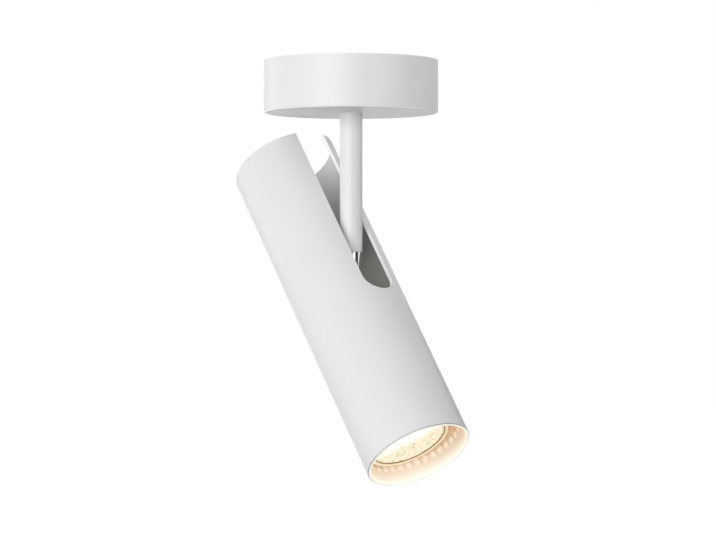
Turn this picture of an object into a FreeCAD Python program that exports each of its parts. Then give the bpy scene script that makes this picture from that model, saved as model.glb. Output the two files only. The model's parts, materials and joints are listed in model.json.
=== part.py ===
import FreeCAD, Part
import Sketcher
import math
import os
import re

# A surface mounted ceiling spotlight: a round canopy, a stem that swivels under it, and a tube head that tilts
# on a knuckle at its middle, with the stem passing through a slit in its side. Millimetres and degrees.
#
# The origin is the centre of the bracket's top face, on the ceiling, and the object hangs below it. The head
# tilts in the XZ plane, with its slit towards +X. Head and lamp pieces are drawn upright about the pivot, with
# the tube along Z and the slit towards +X, and one placement then tilts them.

SIZES = {
    # Canopy, a cup that closes against the ceiling
    "canopy_diameter": 100,
    "canopy_height": 30,
    "canopy_wall": 1.2,
    "canopy_floor": 1.5,
    "canopy_edge_round": 1.0,
    "canopy_inside_round": 0.8,
    # Ceiling bracket: a strap along X with bent ears, a wing for the terminal block and a tab for the earth
    "bracket_thickness": 2,
    "bracket_width": 18,
    "bracket_end_gap": 2.4,
    "bend_round": 1,
    "bend_relief": 1.5,
    "slot_spacing": 56,
    "slot_length": 16,
    "slot_width": 4.5,
    "ear_width": 16,
    "screw_ear_depth": 13,
    "hook_ear_depth": 10,
    "tongue_width": 10,
    "tongue_reach": 1.8,
    "hook_thickness": 1.6,
    "clip_width": 13,
    "clip_height": 11,
    "clip_thickness": 1.1,
    "wing_width": 34,
    "wing_reach": 37,
    "tab_width": 16,
    "tab_reach": 30,
    "canopy_screw_diameter": 4,
    "canopy_screw_drop": 8,
    "canopy_screw_length": 7,
    "canopy_screw_head": 7.4,
    # Terminal block on the wing, with three poles along X
    "pole_pitch": 10,
    "block_depth": 16,
    "block_height": 8,
    "block_centre": 26,
    "tower_diameter": 6.4,
    "tower_height": 4,
    "insert_side": 5,
    "insert_bore": 3.4,
    "insert_inset": 1,
    "terminal_screw_diameter": 3,
    "terminal_screw_pitch": 8,
    "terminal_screw_sink": 1,
    "terminal_well_gap": 0.5,
    "block_screw_diameter": 3,
    "earth_screw_diameter": 4,
    "earth_screw_place": 22,
    "earth_washer_thickness": 1,
    # Screw heads and slots, as shares of the screw's diameter
    "head_width_share": 1.8,
    "head_height_share": 0.6,
    "slot_width_share": 0.2,
    # Swivel: a nipple through the canopy's centre, held by a stop washer, a disc spring and two nuts
    "thread_diameter": 10,
    "nipple_bore": 7,
    "nipple_grip": 11.5,
    "nipple_height": 13,
    "bush_wall": 1,
    "bush_flange": 22,
    "bush_flange_thickness": 1.2,
    "stem_washer_thickness": 0.5,
    "stop_washer_diameter": 20,
    "stop_washer_thickness": 1,
    "stop_tab_width": 3.4,
    "stop_tab_reach": 14.8,
    "stop_pin_diameter": 2.8,
    "stop_pin_place": 13,
    "stop_pin_height": 4,
    "spring_diameter": 18,
    "spring_thickness": 0.6,
    "spring_cone": 0.5,
    "nut_flats": 13,
    "nut_height": 3,
    # Stem and knuckle
    "stem_diameter": 13,
    "stem_drop": 110,
    "stem_end_chamfer": 0.5,
    "knuckle_chamfer": 0.6,
    "pivot_drop": 142,
    "knuckle_diameter": 12.8,
    "knuckle_thread": 10,
    "shank_end": 14,
    "tongue_thickness": 4,
    "fork_flats": 9.8,
    "fork_slot_depth": 7.4,
    "fork_shoulder": 2,
    "fork_length": 17.2,
    "wire_bore": 6,
    "wire_exit_height": 6,
    "wire_exit": 21,
    "pivot_washer_thickness": 0.5,
    "pivot_diameter": 5,
    "pivot_head": 8,
    "pivot_nut_flats": 8,
    "pivot_nut_height": 4,
    # Head tube, open at both ends
    "rest_tilt": 36,
    "head_diameter": 61.5,
    "head_wall": 2,
    "head_above": 105.3,
    "head_below": 102.5,
    "head_edge_round": 0.5,
    "head_inside_round": 0.3,
    "slit_width": 20.5,
    "slit_end": 8.7,
    # Carrier bracket, a shelf across the tube with a tab down its back wall
    "carrier_thickness": 2,
    "carrier_tab": 15,
    "carrier_tab_angle": 44,
    "carrier_screw_diameter": 3,
    "carrier_screw_head": 5.6,
    "carrier_screw_length": 6,
    "carrier_screw_pitch": 7,
    "carrier_window": 9,
    "knuckle_washer_diameter": 15,
    "knuckle_washer_thickness": 0.8,
    # Lampholder and its posts
    "holder_post_length": 8.3,
    "holder_rim": 0.6,
    "holder_cap_height": 3.6,
    "holder_height": 14.8,
    "holder_face": 3,
    "holder_chamfer": 1,
    "chamber_roof": 2.5,
    "holder_post_diameter": 5,
    "holder_screw_diameter": 3,
    "holder_screw_head": 5.4,
    "holder_screw_well": 5,
    "keyhole_neck": 3.6,
    "keyhole_entry": 5.8,
    "keyhole_turn": 22,
    "contact_thickness": 0.6,
    "contact_post": 2.4,
    "contact_post_root": 0.5,
    "contact_post_end": 1,
    # Lamp with two locking pins. It hangs off the tube's centre by these shares of its clearance.
    "lamp_lean_slit": -0.3733,
    "lamp_lean_side": -0.3733,
    "lamp_diameter": 50,
    "lamp_length": 46.5,
    "lamp_rim": 3.5,
    "lamp_bezel_width": 3.5,
    "lens_sink": 0.6,
    "bezel_chamfer": 1,
    "lamp_skirt": 5,
    "lamp_flare": 4,
    "lamp_shoulder": 1.5,
    "lamp_ledge": 4,
    "lamp_base_diameter": 24.6,
    "lamp_base_height": 15,
    "lamp_base_chamfer": 1,
    "lamp_wall": 1.6,
    "pin_pitch": 10,
    "pin_neck": 3,
    "pin_root": 3,
    "pin_head": 5,
    "pin_head_height": 3.6,
    "board_thickness": 1.6,
    "board_depth": 9,
    "led_side": 3,
    "led_height": 0.8,
    "led_circle": 22,
    "collimator_width": 10,
    "collimator_tip": 4,
    # Wires
    "wire_diameter": 1.9,
    "wire_pitch": 2,
    "wire_bend": 3.5,
    "wire_gap": 1,
    "wire_tail": 7,
    "wire_grip": 3,
    # Clearances: in a turning fit, round a screw or a thread, and between pieces that are slid in
    "turning_gap": 0.05,
    "thread_gap": 0.03,
    "slip_gap": 0.1,
    # How far a screw's end or a cutting shape runs past a face
    "overrun": 1,
}

document = FreeCAD.newDocument("spotlight")
sheet = document.addObject("Spreadsheet::Sheet", "sizes")
for row, (alias, number) in enumerate(SIZES.items(), start=1):
    sheet.set(f"A{row}", alias.replace("_", " "))
    sheet.set(f"B{row}", str(number))
    sheet.setAlias(f"B{row}", alias)
document.recompute()

nodes = []

# Lengths that several pieces share, worked out from the sizes
CANOPY_BORE = "(canopy_diameter / 2 - canopy_wall)"
CANOPY_INSIDE = "(-canopy_height + canopy_floor)"
EAR_OUTSIDE = f"({CANOPY_BORE} - bracket_end_gap)"
EAR_INSIDE = f"({EAR_OUTSIDE} - bracket_thickness)"
BLOCK_TOP = "(-bracket_thickness)"
BLOCK_FLOOR = "(-bracket_thickness - block_height)"
INSERT_CENTRE = "(-bracket_thickness - block_height / 2)"
TOWER_FLOOR = f"({BLOCK_FLOOR} - tower_height)"
NIPPLE_RADIUS = "(thread_diameter / 2)"
BUSH_TOP = f"({CANOPY_INSIDE} + bush_flange_thickness)"
STOP_TOP = f"({BUSH_TOP} + stop_washer_thickness)"
SPRING_TOP = f"({STOP_TOP} + spring_thickness + spring_cone)"
NUT_TOP = f"({SPRING_TOP} + nut_height)"
NIPPLE_TOP = "(-canopy_height + nipple_height)"
STEM_TOP = "(-canopy_height - stem_washer_thickness)"
KNUCKLE_RADIUS = "(knuckle_diameter / 2)"
FORK_INSIDE = "(tongue_thickness / 2 + pivot_washer_thickness + turning_gap)"
FORK_OUTSIDE = "(fork_flats / 2)"
HEAD_RADIUS = "(head_diameter / 2)"
HEAD_BORE = "(head_diameter / 2 - head_wall)"
CARRIER_TOP = "(-fork_length)"
CARRIER_FLOOR = "(-fork_length - carrier_thickness)"
CARRIER_RADIUS = f"({HEAD_BORE} - slip_gap)"
KNUCKLE_WASHER_FLOOR = f"({CARRIER_FLOOR} - knuckle_washer_thickness)"
KNUCKLE_NUT_FLOOR = f"({KNUCKLE_WASHER_FLOOR} - nut_height)"
LAMP_SLACK = f"({HEAD_BORE} - lamp_diameter / 2)"
LAMP_OUT = f"(lamp_lean_slit * {LAMP_SLACK})"
LAMP_ASIDE = f"(lamp_lean_side * {LAMP_SLACK})"
CAP_TOP = f"({CARRIER_FLOOR} - holder_post_length)"
HOLDER_TOP = f"({CAP_TOP} - holder_cap_height)"
HOLDER_FLOOR = f"({HOLDER_TOP} - holder_height)"
LAMP_TOP = f"({HOLDER_FLOOR} - slip_gap)"
LAMP_FACE = f"({LAMP_TOP} - lamp_length)"
LENS_RADIUS = "(lamp_diameter / 2 - lamp_bezel_width)"
HOLDER_SPREAD = f"(knuckle_washer_diameter + holder_post_diameter + 2 * abs({LAMP_ASIDE}) + 4 * slip_gap)"
HOLDER_DIAMETER = f"({HOLDER_SPREAD} + holder_screw_head + 2 * slip_gap + 2 * holder_rim)"
CHAMBER_ROOF = f"({HOLDER_TOP} - chamber_roof)"
POST_FLOOR = f"({CHAMBER_ROOF} - contact_post_root)"
POST_TOP = f"({CAP_TOP} + contact_post_end)"
PIN_HEAD_FLOOR = f"({HOLDER_FLOOR} + holder_face + slip_gap)"
CONTACT_RADIUS = "(pin_pitch / 2 + pin_head / 2 + slip_gap)"

HEAD_PLACE = "placement(vector(0; 0; -pivot_drop); rotation(vector(0; -1; 0); rest_tilt))"
LAMP_PLACE = (
    f"placement(vector({LAMP_OUT} * cos(rest_tilt * 1deg); {LAMP_ASIDE};"
    f" {LAMP_OUT} * sin(rest_tilt * 1deg) - pivot_drop); rotation(vector(0; -1; 0); rest_tilt))"
)


def bound(text):
    """The expression with the sheet's name put before each size."""
    return re.sub(r"[a-z_]+", lambda word: "sizes." + word[0] if word[0] in SIZES else word[0], str(text))


def value(text):
    return float(sheet.evalExpression(bound(text)))


def bind(thing, name, text):
    thing.setExpression(name, bound(text))


def place(thing, x, y, z):
    for letter, text in zip("xyz", (x, y, z)):
        bind(thing, f"Placement.Base.{letter}", text)


TURNS = {
    "x": FreeCAD.Rotation(FreeCAD.Vector(0, 1, 0), 90),
    "y": FreeCAD.Rotation(FreeCAD.Vector(1, 0, 0), -90),
    "z": FreeCAD.Rotation(),
}


def along_axis(thing, along, low, sides):
    """Lays a primitive along an axis from low, with its centre line at the two other coordinates."""
    thing.Placement = FreeCAD.Placement(FreeCAD.Vector(), TURNS[along])
    spots = list(sides)
    spots.insert("xyz".index(along), low)
    place(thing, *spots)
    return thing


def rod(diameter, low, high, along="z", at=("0", "0")):
    thing = document.addObject("Part::Cylinder", "rod")
    bind(thing, "Radius", f"({diameter}) / 2")
    bind(thing, "Height", f"({high}) - ({low})")
    return along_axis(thing, along, low, at)


def cone(low_diameter, high_diameter, low, high, along="z", at=("0", "0")):
    thing = document.addObject("Part::Cone", "cone")
    bind(thing, "Radius1", f"({low_diameter}) / 2")
    bind(thing, "Radius2", f"({high_diameter}) / 2")
    bind(thing, "Height", f"({high}) - ({low})")
    return along_axis(thing, along, low, at)


def hexagon(flats, low, high, along="z", at=("0", "0")):
    thing = document.addObject("Part::Prism", "hexagon")
    thing.Polygon = 6
    bind(thing, "Circumradius", f"({flats}) / sqrt(3)")
    bind(thing, "Height", f"({high}) - ({low})")
    return along_axis(thing, along, low, at)


def block(x, y, z):
    """A box between the two values given for each axis."""
    thing = document.addObject("Part::Box", "block")
    for name, (low, high) in zip(("Length", "Width", "Height"), (x, y, z)):
        bind(thing, name, f"({high}) - ({low})")
    place(thing, x[0], y[0], z[0])
    return thing


def turn_to(thing, angle):
    """Turns a thing about Z, which suits what stands at the origin."""
    thing.Placement = FreeCAD.Placement(FreeCAD.Vector(), FreeCAD.Rotation(FreeCAD.Vector(0, 0, 1), angle))
    return thing


def across(width):
    return (f"-({width}) / 2", f"({width}) / 2")


def fuse(*things):
    result = document.addObject("Part::MultiFuse", "fused")
    result.Shapes = list(things)
    result.Refine = True
    return result


def cut(thing, *tools):
    result = document.addObject("Part::Cut", "cut")
    result.Base = thing
    result.Tool = tools[0] if len(tools) == 1 else fuse(*tools)
    return result


def common(*things):
    result = document.addObject("Part::MultiCommon", "common")
    result.Shapes = list(things)
    return result


def origin_plane(body, role):
    return next(feature for feature in body.Origin.OriginFeatures if feature.Role == role)


def outline(body, plane, points, lift="0"):
    """A closed sketch of straight lines, with every corner held by the sizes."""
    sketch = body.newObject("Sketcher::SketchObject", "outline")
    sketch.AttachmentSupport = [(origin_plane(body, plane), "")]
    sketch.MapMode = "FlatFace"
    bind(sketch, "AttachmentOffset.Base.z", lift)
    corners = [FreeCAD.Vector(value(x), value(y), 0) for x, y in points]
    for start, end in zip(corners, corners[1:] + corners[:1]):
        sketch.addGeometry(Part.LineSegment(start, end), False)
    for side in range(len(corners)):
        sketch.addConstraint(Sketcher.Constraint("Coincident", side, 2, (side + 1) % len(corners), 1))
    for side, (corner, texts) in enumerate(zip(corners, points)):
        for kind, number, text in zip(("DistanceX", "DistanceY"), (corner.x, corner.y), texts):
            place_of = sketch.addConstraint(Sketcher.Constraint(kind, -1, 1, side, 1, number))
            bind(sketch, f"Constraints[{place_of}]", text)
    return sketch


def turned(name, points, angle="360", middle=False):
    """A body turned about Z from half its section, given as radius and height."""
    body = document.addObject("PartDesign::Body", name)
    sketch = outline(body, "XZ_Plane", points)
    turn = body.newObject("PartDesign::Revolution", "turn")
    turn.Profile = sketch
    turn.ReferenceAxis = (sketch, ["V_Axis"])
    bind(turn, "Angle", angle)
    turn.Midplane = middle
    sketch.Visibility = False
    return body


def plate(name, points, low, high):
    """A body padded upwards from an outline in the XY plane."""
    body = document.addObject("PartDesign::Body", name)
    pad = body.newObject("PartDesign::Pad", "pad")
    pad.Profile = outline(body, "XY_Plane", points, low)
    bind(pad, "Length", f"({high}) - ({low})")
    return body


def padded(body, points, width):
    """Pads a side view, drawn in the XZ plane, by half the width to each side."""
    pad = body.newObject("PartDesign::Pad", "pad")
    pad.Profile = outline(body, "XZ_Plane", points)
    pad.Midplane = True
    bind(pad, "Length", width)


def rounded(body, radius, wanted):
    """Rounds the edges of a body that the test picks out, with a radius from the sizes."""
    document.recompute()
    names = [f"Edge{n}" for n, edge in enumerate(body.Shape.Edges, start=1) if wanted(edge)]
    base = body.Tip
    fillet = body.newObject("PartDesign::Fillet", "rounding")
    fillet.Base = (base, names)
    bind(fillet, "Radius", radius)
    return body


def ring_at(radius, height):
    """A test for the circles about Z with this radius at this height."""
    def wanted(edge):
        curve = edge.Curve
        if not isinstance(curve, Part.Circle):
            return False
        return abs(curve.Radius - value(radius)) < 1e-4 and abs(curve.Center.z - value(height)) < 1e-4
    return wanted


def fold_at(place, height):
    """A test for straight edges along Y at this distance to either side and this height."""
    def wanted(edge):
        if not isinstance(edge.Curve, Part.Line):
            return False
        middle = edge.CenterOfMass
        along = abs(edge.Curve.Direction.y) > 0.99
        return along and abs(abs(middle.x) - value(place)) < 1e-4 and abs(middle.z - value(height)) < 1e-4
    return wanted


def node(name, thing, where=None):
    """Registers a finished piece under its name, tilted with the head where asked."""
    thing.Label = name
    if where:
        bind(thing, "Placement", where)
    nodes.append(thing)
    return thing


def ring(name, bore, diameter, low, high):
    return turned(name, [
        (f"({bore}) / 2", low), (f"({diameter}) / 2", low),
        (f"({diameter}) / 2", high), (f"({bore}) / 2", high),
    ])


def nut(flats, bore, low, high, along="z"):
    """A hexagon nut with the corners turned off at both faces."""
    bevelled = common(
        hexagon(flats, low, high, along),
        fuse(
            cone(f"{flats}", f"({flats}) * 1.3", low, f"({low}) + ({flats}) * 0.15 * tan(30 deg)", along),
            rod(f"({flats}) * 1.3", f"({low}) + ({flats}) * 0.15 * tan(30 deg)",
                f"({high}) - ({flats}) * 0.15 * tan(30 deg)", along),
            cone(f"({flats}) * 1.3", f"{flats}", f"({high}) - ({flats}) * 0.15 * tan(30 deg)", high, along),
        ),
    )
    return cut(bevelled, rod(bore, low, high, along))


def screw(diameter, head, seat, tip, along="z", at=("0", "0"), above=False):
    """A slotted screw with its head under the seat, or above it, and its shank running on to the tip."""
    side = "+" if above else "-"
    head_height = f"({diameter} * head_height_share)"
    slot = f"{diameter} * slot_width_share"
    crown = f"({seat}) {side} {head_height}"
    groove = f"({seat}) {side} {head_height} / 2"
    shank_span, head_span, groove_span = (seat, tip), (crown, seat), (crown, groove)
    if above:
        shank_span, head_span, groove_span = (tip, seat), (seat, crown), (groove, crown)
    body = fuse(rod(diameter, *shank_span, along, at), rod(head, *head_span, along, at))
    sides = [
        (f"({at[0]}) - ({head}) / 2", f"({at[0]}) + ({head}) / 2"),
        (f"({at[1]}) - ({slot}) / 2", f"({at[1]}) + ({slot}) / 2"),
    ]
    sides.insert("xyz".index(along), groove_span)
    return cut(body, block(*sides))


def wire(points, diameter, bend):
    """A round wire along straight runs that are joined by arcs of one radius."""
    spots = [FreeCAD.Vector(*(value(text) for text in point)) for point in points]
    edges = []
    start = spots[0]
    for before, corner, after in zip(spots, spots[1:], spots[2:]):
        inwards = (before - corner).normalize()
        outwards = (after - corner).normalize()
        half_turn = (math.pi - inwards.getAngle(outwards)) / 2
        reach = bend * math.tan(half_turn)
        first = corner + inwards * reach
        last = corner + outwards * reach
        middle = (inwards + outwards).normalize()
        top = corner + middle * (bend / math.cos(half_turn) - bend)
        edges.append(Part.makeLine(start, first))
        edges.append(Part.Arc(first, top, last).toShape())
        start = last
    edges.append(Part.makeLine(start, spots[-1]))
    path = Part.Wire(edges)
    section = Part.Wire([Part.makeCircle(diameter / 2, spots[0], spots[1] - spots[0])])
    return path.makePipeShell([section], True, False)


def wires(name, routes, where=None):
    """A set of wires in one node, as separate solids."""
    thing = document.addObject("Part::Feature", name)
    lengths = [wire(route, value("wire_diameter"), value("wire_bend")) for route in routes]
    thing.Shape = Part.makeCompound(lengths)
    return node(name, thing, where)


def ceiling_bracket():
    """A strap with both ends bent down: one is tapped for the canopy's screw, the other ends in a tongue."""
    end = EAR_OUTSIDE
    neck = f"({EAR_INSIDE} - bend_relief)"
    half = "bracket_width / 2"
    ear = "ear_width / 2"
    wing = "wing_width / 2"
    tab = "tab_width / 2"
    steel = plate("steel", [
        (f"-{end}", f"-{ear}"), (f"-{neck}", f"-{ear}"), (f"-{neck}", f"-{half}"), (f"-{tab}", f"-{half}"),
        (f"-{tab}", "-tab_reach"), (tab, "-tab_reach"), (tab, f"-{half}"), (neck, f"-{half}"), (neck, f"-{ear}"),
        (end, f"-{ear}"), (end, ear), (neck, ear), (neck, half), (wing, half), (wing, "wing_reach"),
        (f"-{wing}", "wing_reach"), (f"-{wing}", half), (f"-{neck}", half), (f"-{neck}", ear), (f"-{end}", ear),
    ], "-bracket_thickness", "0")
    padded(steel, [
        (f"-{end}", "-screw_ear_depth"), (f"-{EAR_INSIDE}", "-screw_ear_depth"), (f"-{EAR_INSIDE}", "0"),
        (f"-{end}", "0"),
    ], "ear_width")
    padded(steel, [
        (EAR_INSIDE, "-hook_ear_depth"), (end, "-hook_ear_depth"), (end, "0"), (EAR_INSIDE, "0"),
    ], "ear_width")
    rounded(steel, "bend_round + bracket_thickness", fold_at(end, "0"))
    rounded(steel, "bend_round", fold_at(EAR_INSIDE, "-bracket_thickness"))
    tongue = block((EAR_INSIDE, f"{end} + tongue_reach"), across("tongue_width"),
                   ("-hook_ear_depth", "-hook_ear_depth + hook_thickness"))
    slots = []
    for side in ("-", ""):
        middle = f"{side}slot_spacing / 2"
        reach = "(slot_length - slot_width) / 2"
        slots.append(block((f"{middle} - {reach}", f"{middle} + {reach}"), across("slot_width"),
                           ("-bracket_thickness", "0")))
        for end_side in ("-", "+"):
            spot = (f"{middle} {end_side} {reach}", "0")
            slots.append(rod("slot_width", "-bracket_thickness", "0", at=spot))
    ear_hole = rod("canopy_screw_diameter + 2 * thread_gap", f"-{EAR_OUTSIDE}", f"-{EAR_INSIDE}", "x",
                   ("0", "-canopy_screw_drop"))
    earth_hole = rod("earth_screw_diameter + 2 * thread_gap", "-bracket_thickness", "0",
                     at=("0", "-earth_screw_place"))
    block_holes = [
        rod("block_screw_diameter + 2 * thread_gap", "-bracket_thickness", "0",
            at=(f"{side}pole_pitch / 2", "block_centre"))
        for side in ("-", "")
    ]
    node("ceiling_bracket", cut(fuse(steel, tongue), ear_hole, earth_hole, *slots, *block_holes))


def canopy():
    cup = turned("cup", [
        ("thread_diameter / 2 + turning_gap + bush_wall + slip_gap / 2", "-canopy_height"),
        ("canopy_diameter / 2", "-canopy_height"),
        ("canopy_diameter / 2", "0"),
        (CANOPY_BORE, "0"),
        (CANOPY_BORE, CANOPY_INSIDE),
        ("thread_diameter / 2 + turning_gap + bush_wall + slip_gap / 2", CANOPY_INSIDE),
    ])
    rounded(cup, "canopy_edge_round", ring_at("canopy_diameter / 2", "-canopy_height"))
    rounded(cup, "canopy_inside_round", ring_at(CANOPY_BORE, CANOPY_INSIDE))
    screw_hole = rod("canopy_screw_diameter + 2 * slip_gap", "-canopy_diameter / 2",
                     f"-{CANOPY_BORE} + overrun", "x", ("0", "-canopy_screw_drop"))
    node("canopy", cut(cup, screw_hole))
    clip_top = "(-hook_ear_depth)"
    half_angle = f"asin(clip_width / 2 / {CANOPY_BORE}) / 1deg"
    clip = turned("clip", [
        (f"{CANOPY_BORE} - clip_thickness", f"{clip_top} - clip_height"),
        (CANOPY_BORE, f"{clip_top} - clip_height"),
        (CANOPY_BORE, clip_top),
        (f"{EAR_OUTSIDE} + slip_gap", clip_top),
        (f"{EAR_OUTSIDE} + slip_gap", f"{clip_top} - clip_thickness"),
        (f"{CANOPY_BORE} - clip_thickness", f"{clip_top} - clip_thickness"),
    ], angle=f"2 * {half_angle}", middle=True)
    node("canopy_clip", clip)
    node("canopy_screw", screw(
        "canopy_screw_diameter", "canopy_screw_head", "-canopy_diameter / 2",
        "-canopy_diameter / 2 + canopy_screw_length", "x", ("0", "-canopy_screw_drop"),
    ))


def terminals():
    """A three pole screw terminal block, its brass inserts and its screws, under the bracket's wing."""
    poles = ("-pole_pitch", "0", "pole_pitch")
    depth = ("block_centre - block_depth / 2", "block_centre + block_depth / 2")
    rows = [(pole, f"block_centre {side} terminal_screw_pitch / 2") for pole in poles for side in ("-", "+")]
    towers = [rod("tower_diameter", TOWER_FLOOR, INSERT_CENTRE, at=spot) for spot in rows]
    body = fuse(block(across("3 * pole_pitch"), depth, (BLOCK_FLOOR, BLOCK_TOP)), *towers)
    tunnel = "(insert_side / 2 + slip_gap)"
    tunnels = [
        block((f"{pole} - {tunnel}", f"{pole} + {tunnel}"), depth,
              (f"{INSERT_CENTRE} - {tunnel}", f"{INSERT_CENTRE} + {tunnel}"))
        for pole in poles
    ]
    wells = [
        rod("terminal_screw_diameter + 2 * terminal_well_gap", TOWER_FLOOR, INSERT_CENTRE, at=spot)
        for spot in rows
    ]
    fixings = [
        rod("block_screw_diameter + 2 * slip_gap", BLOCK_FLOOR, BLOCK_TOP,
            at=(f"{side}pole_pitch / 2", "block_centre"))
        for side in ("-", "")
    ]
    node("terminal_block", cut(body, *tunnels, *wells, *fixings))

    inset = ("block_centre - block_depth / 2 + insert_inset", "block_centre + block_depth / 2 - insert_inset")
    bars = [
        block((f"{pole} - insert_side / 2", f"{pole} + insert_side / 2"), inset,
              (f"{INSERT_CENTRE} - insert_side / 2", f"{INSERT_CENTRE} + insert_side / 2"))
        for pole in poles
    ]
    bores = [rod("insert_bore", *inset, "y", (pole, INSERT_CENTRE)) for pole in poles]
    taps = [
        rod("terminal_screw_diameter + 2 * thread_gap", f"{INSERT_CENTRE} - insert_side / 2", INSERT_CENTRE,
            at=spot)
        for spot in rows
    ]
    node("terminal_inserts", cut(fuse(*bars), *bores, *taps))

    grub_end = f"{TOWER_FLOOR} + terminal_screw_sink"
    half_slot = "terminal_screw_diameter * slot_width_share / 2"
    screws = [
        cut(
            rod("terminal_screw_diameter", grub_end, f"{INSERT_CENTRE} - wire_diameter / 2", at=spot),
            block((f"{spot[0]} - terminal_screw_diameter", f"{spot[0]} + terminal_screw_diameter"),
                  (f"{spot[1]} - {half_slot}", f"{spot[1]} + {half_slot}"),
                  (grub_end, f"{grub_end} + terminal_screw_diameter / 3")),
        )
        for spot in rows
    ]
    node("terminal_screws", fuse(*screws))
    fasteners = [
        screw("block_screw_diameter", "block_screw_diameter * head_width_share", BLOCK_FLOOR, "-slip_gap",
              at=(f"{side}pole_pitch / 2", "block_centre"))
        for side in ("-", "")
    ]
    node("terminal_block_screws", fuse(*fasteners))


def earth_terminal():
    spot = ("0", "-earth_screw_place")
    washer_floor = "(-bracket_thickness - earth_washer_thickness)"
    node("earth_washer", cut(
        rod("earth_screw_diameter * 2.2", washer_floor, "-bracket_thickness", at=spot),
        rod("earth_screw_diameter + 2 * slip_gap", washer_floor, "-bracket_thickness", at=spot),
    ))
    node("earth_screw", screw("earth_screw_diameter", "earth_screw_diameter * head_width_share", washer_floor,
                              "-slip_gap", at=spot))


def swivel():
    """The bush, washers, spring and nuts that carry the stem in the canopy's centre hole."""
    nipple = "thread_diameter"
    turning = "(thread_diameter + 2 * turning_gap)"
    sleeve = f"({turning} / 2 + bush_wall)"
    node("swivel_bush", turned("bush", [
        (f"{turning} / 2", "-canopy_height"), (sleeve, "-canopy_height"), (sleeve, CANOPY_INSIDE),
        ("bush_flange / 2", CANOPY_INSIDE), ("bush_flange / 2", BUSH_TOP), (f"{turning} / 2", BUSH_TOP),
    ]))
    node("stem_washer", ring("slip_ring", turning, "stem_diameter - 0.4", STEM_TOP, "-canopy_height"))
    node("stop_pin", rod("stop_pin_diameter", CANOPY_INSIDE, f"{CANOPY_INSIDE} + stop_pin_height",
                         at=("-stop_pin_place", "0")))
    threaded = "(thread_diameter + 2 * thread_gap)"
    washer = fuse(
        rod("stop_washer_diameter", BUSH_TOP, STOP_TOP),
        block(("0", "stop_tab_reach"), across("stop_tab_width"), (BUSH_TOP, STOP_TOP)),
    )
    node("stop_washer", cut(washer, rod(threaded, BUSH_TOP, STOP_TOP)))
    node("disc_spring", turned("spring", [
        ("spring_diameter / 2", STOP_TOP), ("spring_diameter / 2", f"{STOP_TOP} + spring_thickness"),
        (f"{threaded} / 2", SPRING_TOP), (f"{threaded} / 2", f"{SPRING_TOP} - spring_thickness"),
    ]))
    node("swivel_nut", nut("nut_flats", threaded, SPRING_TOP, NUT_TOP))
    node("lock_nut", nut("nut_flats", threaded, NUT_TOP, f"{NUT_TOP} + nut_height"))
    node("stem_nipple", ring("nipple", "nipple_bore", nipple, f"{STEM_TOP} - nipple_grip", NIPPLE_TOP))


def stem():
    bore = "(thread_diameter / 2 + thread_gap)"
    node("stem_tube", turned("stem", [
        (bore, "-stem_drop"), ("stem_diameter / 2 - stem_end_chamfer", "-stem_drop"),
        ("stem_diameter / 2", "-stem_drop + stem_end_chamfer"), ("stem_diameter / 2", STEM_TOP), (bore, STEM_TOP),
    ]))
    shank = turned("shank", [
        ("0", "-pivot_drop + shank_end"), (f"{KNUCKLE_RADIUS} - knuckle_chamfer", "-pivot_drop + shank_end"),
        (KNUCKLE_RADIUS, "-pivot_drop + shank_end + knuckle_chamfer"), (KNUCKLE_RADIUS, "-stem_drop"),
        (NIPPLE_RADIUS, "-stem_drop"), (NIPPLE_RADIUS, "-stem_drop + knuckle_thread"),
        ("0", "-stem_drop + knuckle_thread"),
    ])
    eye = rod("knuckle_diameter", *across("tongue_thickness"), "y", ("0", "-pivot_drop"))
    tongue = block(across("knuckle_diameter"), across("tongue_thickness"),
                   ("-pivot_drop", "-pivot_drop + shank_end + overrun"))
    pivot_hole = rod("pivot_diameter + 2 * turning_gap", *across("tongue_thickness"), "y", ("0", "-pivot_drop"))
    wire_hole = rod("wire_bore", f"{EXIT_HEIGHT} - wire_bore / 2", "-stem_drop + knuckle_thread")
    side_slot = block(("-knuckle_diameter", "0"), across("wire_bore"),
                      (f"{EXIT_HEIGHT} - wire_bore / 2", f"{EXIT_HEIGHT} + wire_exit_height"))
    node("knuckle_upper", cut(fuse(shank, eye, tongue), pivot_hole, wire_hole, side_slot))


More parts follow.
